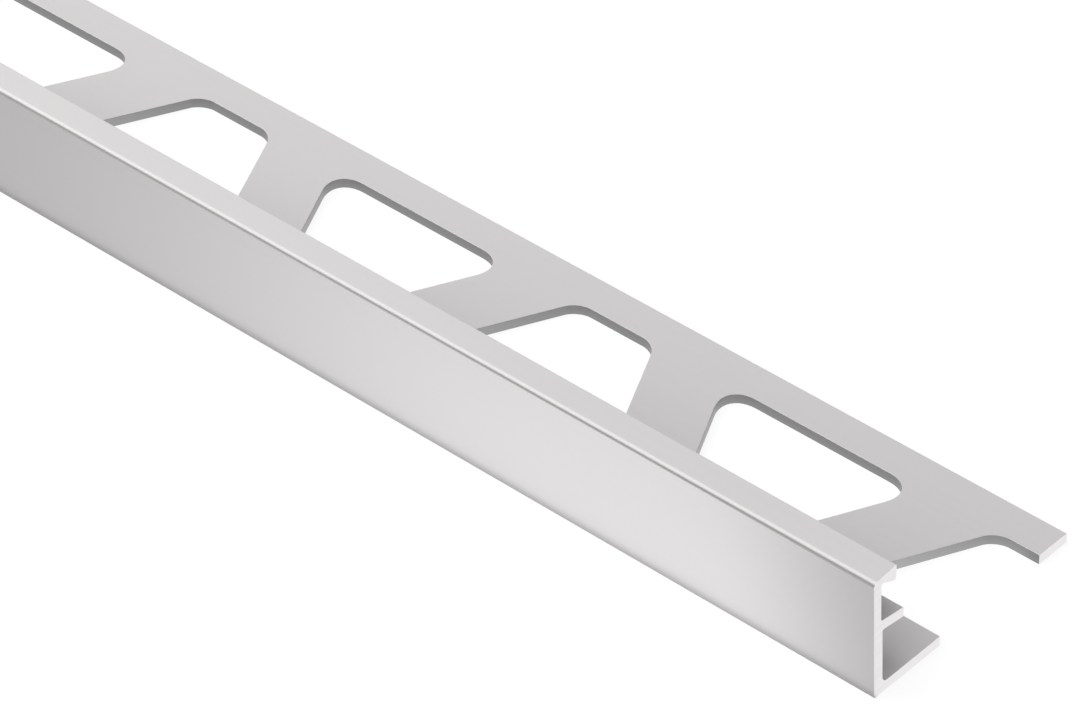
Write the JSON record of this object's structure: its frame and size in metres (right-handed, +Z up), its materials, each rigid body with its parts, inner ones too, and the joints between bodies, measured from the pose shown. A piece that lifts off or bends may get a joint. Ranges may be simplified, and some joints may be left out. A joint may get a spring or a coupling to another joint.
{
  "type": "tile edge trim",
  "caption": "Straight-edge tile trim: one length of satin anodised aluminium with a flat face, a short overlapping head, a back rib and a punched bedding leg.",
  "frame": {"origin": "middle of the bounding box's underside, on the level floor that the leg lies on", "axes": "+X along the length, towards the cut end that the picture shows; +Y across, from the outside face to the leg's outer edge; +Z up, from the leg to the head"},
  "size_m": [1, 0.0258, 0.0128],
  "materials": {
    "anodised_aluminium": "satin"
  },
  "bodies": {
    "root": {"trim_profile": "anodised_aluminium"}
  },
  "joints": []
}
